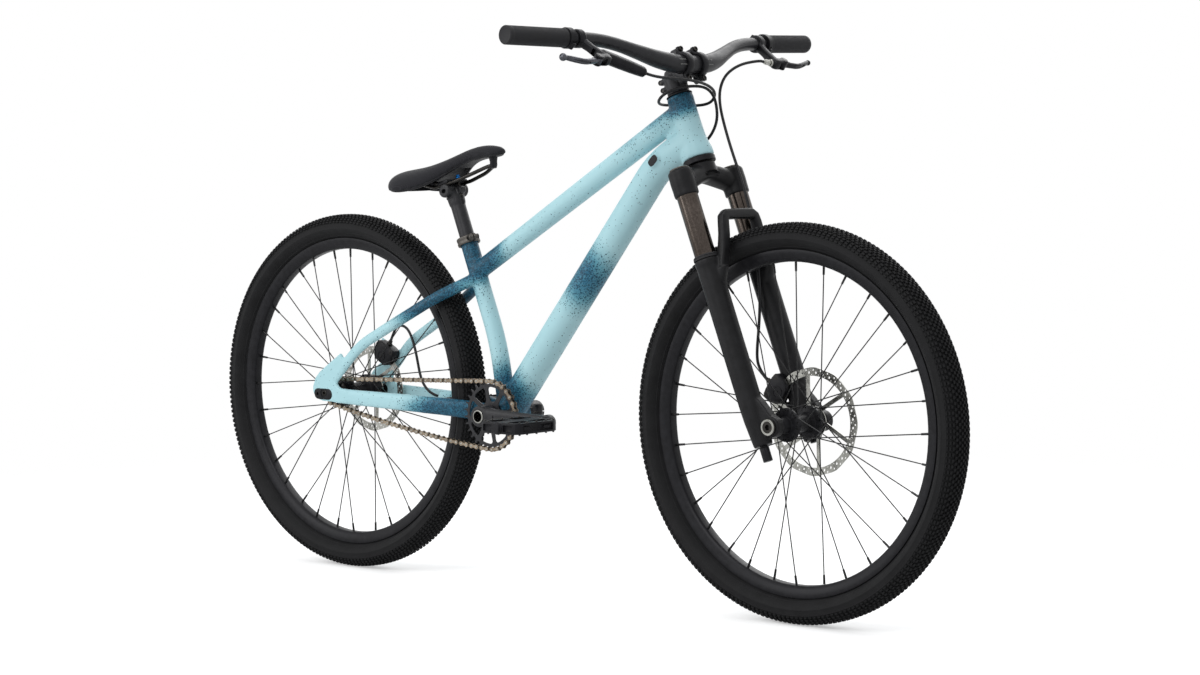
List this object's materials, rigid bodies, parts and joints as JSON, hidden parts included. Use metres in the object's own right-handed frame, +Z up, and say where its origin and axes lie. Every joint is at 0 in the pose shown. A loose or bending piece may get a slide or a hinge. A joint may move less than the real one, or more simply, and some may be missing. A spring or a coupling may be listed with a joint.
{
  "type": "dirt jump bicycle",
  "caption": "Dirt jump bicycle: sloping welded frame, suspension fork, single-speed chain drive, low saddle, riser handlebar and disc brakes.",
  "frame": {"origin": "on the ground, midway between the two wheel axles, in the bike’s middle plane", "axes": "+X forward, +Y to the rider’s left, +Z up"},
  "size_m": [1.709, 0.779, 0.9775],
  "materials": {
    "frame_paint": "satin, pale aqua fading into deep teal with fine dark speckles",
    "black_tyre": "matte black rubber with small blocks",
    "black_rubber": "matte black rubber",
    "black_alloy": "black anodised, satin",
    "fork_paint": "matte black",
    "black_plastic": "matte black",
    "dark_steel": "dark, satin",
    "silver_steel": "bare, brushed",
    "chain_steel": "warm brown-tan coating",
    "saddle_skin": "charcoal synthetic leather, fine grain",
    "hose_skin": "satin black",
    "stanchion_coat": "gloss black with a brown sheen"
  },
  "bodies": {
    "frame_body": {"frame": "frame_paint", "headset_upper_cup": "black_alloy", "headset_lower_cup": "black_alloy", "seat_collar": "black_alloy", "bottom_bracket_cup_right": "black_alloy", "bottom_bracket_cup_left": "black_alloy", "axle_insert_right": "black_alloy", "axle_insert_left": "black_alloy", "rear_axle": "dark_steel", "rear_caliper": "fork_paint", "chain": "chain_steel", "rear_brake_hose_rear": "hose_skin"},
    "steering_body": {"fork_crown_and_steerer": "fork_paint", "stanchion_right": "stanchion_coat", "stanchion_left": "stanchion_coat", "fork_cap_right": "black_alloy", "fork_cap_left": "black_alloy", "headset_spacer": "black_alloy", "stem": "black_alloy", "stem_strap_right": "black_alloy", "stem_strap_left": "black_alloy", "stem_top_cap": "black_alloy", "handlebar": "black_alloy", "grip_right": "black_rubber", "grip_left": "black_rubber", "brake_master_right": "dark_steel", "brake_perch_left": "black_alloy", "rear_brake_hose_front": "hose_skin"},
    "lowers_body": {"fork_lowers": "fork_paint", "wiper_seal_right": "black_rubber", "wiper_seal_left": "black_rubber", "front_axle": "dark_steel", "front_caliper": "fork_paint", "front_brake_housing": "hose_skin"},
    "front_wheel": {"front_tyre": "black_tyre", "front_inner_tube": "black_rubber", "front_rim": "black_alloy", "front_hub_and_spokes": "black_alloy", "front_rotor": "silver_steel"},
    "rear_wheel": {"rear_tyre": "black_tyre", "rear_inner_tube": "black_rubber", "rear_rim": "black_alloy", "rear_hub_and_spokes": "black_alloy", "rear_rotor": "silver_steel"},
    "crankset": {"crank_arm_right": "black_alloy", "crank_arm_left": "black_alloy", "crank_spindle": "silver_steel", "chainring": "black_alloy", "pedal_axle_right": "dark_steel", "pedal_axle_left": "dark_steel"},
    "freewheel": {"rear_cog": "dark_steel"},
    "pedal_right_body": {"pedal_right": "black_plastic"},
    "pedal_left_body": {"pedal_left": "black_plastic"},
    "seat_body": {"seatpost": "black_alloy", "rail_clamp": "black_alloy", "saddle_rails": "dark_steel", "saddle_shell": "black_plastic", "saddle_cover": "saddle_skin"},
    "lever_right_body": {"brake_lever_right": "dark_steel"},
    "lever_left_body": {"brake_lever_left": "black_alloy"}
  },
  "joints": [
    {"name": "steering", "type": "hinge", "parent": "frame_body", "child": "steering_body", "pos_m": [0.31802, 0, 0.76005], "axis": [-0.3665, 0, 0.9304], "range_deg": [-80, 80], "deforming": ["rear_brake_hose_front"]},
    {"name": "fork_slide", "type": "slide", "parent": "steering_body", "child": "lowers_body", "axis": [-0.3665, 0, 0.9304], "range_m": [0, 0.1], "stiffness_N_per_m": 9000, "springref_m": -0.03, "deforming": ["front_brake_housing"]},
    {"name": "front_wheel_spin", "type": "hinge", "parent": "lowers_body", "child": "front_wheel", "pos_m": [0.5245, 0, 0.33], "axis": [0, 1, 0], "continuous": true},
    {"name": "rear_wheel_spin", "type": "hinge", "parent": "frame_body", "child": "rear_wheel", "pos_m": [-0.5245, 0, 0.33], "axis": [0, 1, 0], "continuous": true},
    {"name": "crank_spin", "type": "hinge", "parent": "frame_body", "child": "crankset", "pos_m": [-0.12674, 0, 0.3093], "axis": [0, 1, 0], "continuous": true, "deforming": ["chain"]},
    {"name": "freewheel_spin", "type": "hinge", "parent": "frame_body", "child": "freewheel", "pos_m": [-0.5245, 0, 0.33], "axis": [0, 1, 0], "continuous": true},
    {"name": "pedal_right_spin", "type": "hinge", "parent": "crankset", "child": "pedal_right_body", "pos_m": [0.04326, 0, 0.3093], "axis": [0, 1, 0], "continuous": true},
    {"name": "pedal_left_spin", "type": "hinge", "parent": "crankset", "child": "pedal_left_body", "pos_m": [-0.29674, 0, 0.3093], "axis": [0, 1, 0], "continuous": true},
    {"name": "seatpost_slide", "type": "slide", "parent": "frame_body", "child": "seat_body", "axis": [-0.3706, 0, 0.9288], "range_m": [-0.06, 0.05]},
    {"name": "brake_lever_right_pull", "type": "hinge", "parent": "steering_body", "child": "lever_right_body", "pos_m": [0.30664, -0.24, 0.92341], "axis": [-0.5672, 0, -0.8236], "range_deg": [0, 20], "stiffness_Nm_per_rad": 1, "springref_deg": -17.19},
    {"name": "brake_lever_left_pull", "type": "hinge", "parent": "steering_body", "child": "lever_left_body", "pos_m": [0.30664, 0.24, 0.92341], "axis": [0.5672, 0, 0.8236], "range_deg": [0, 20], "stiffness_Nm_per_rad": 1, "springref_deg": -17.19}
  ],
  "couplings": [
    {"joint": "freewheel_spin", "follows": "crank_spin", "ratio": 2.5}
  ]
}
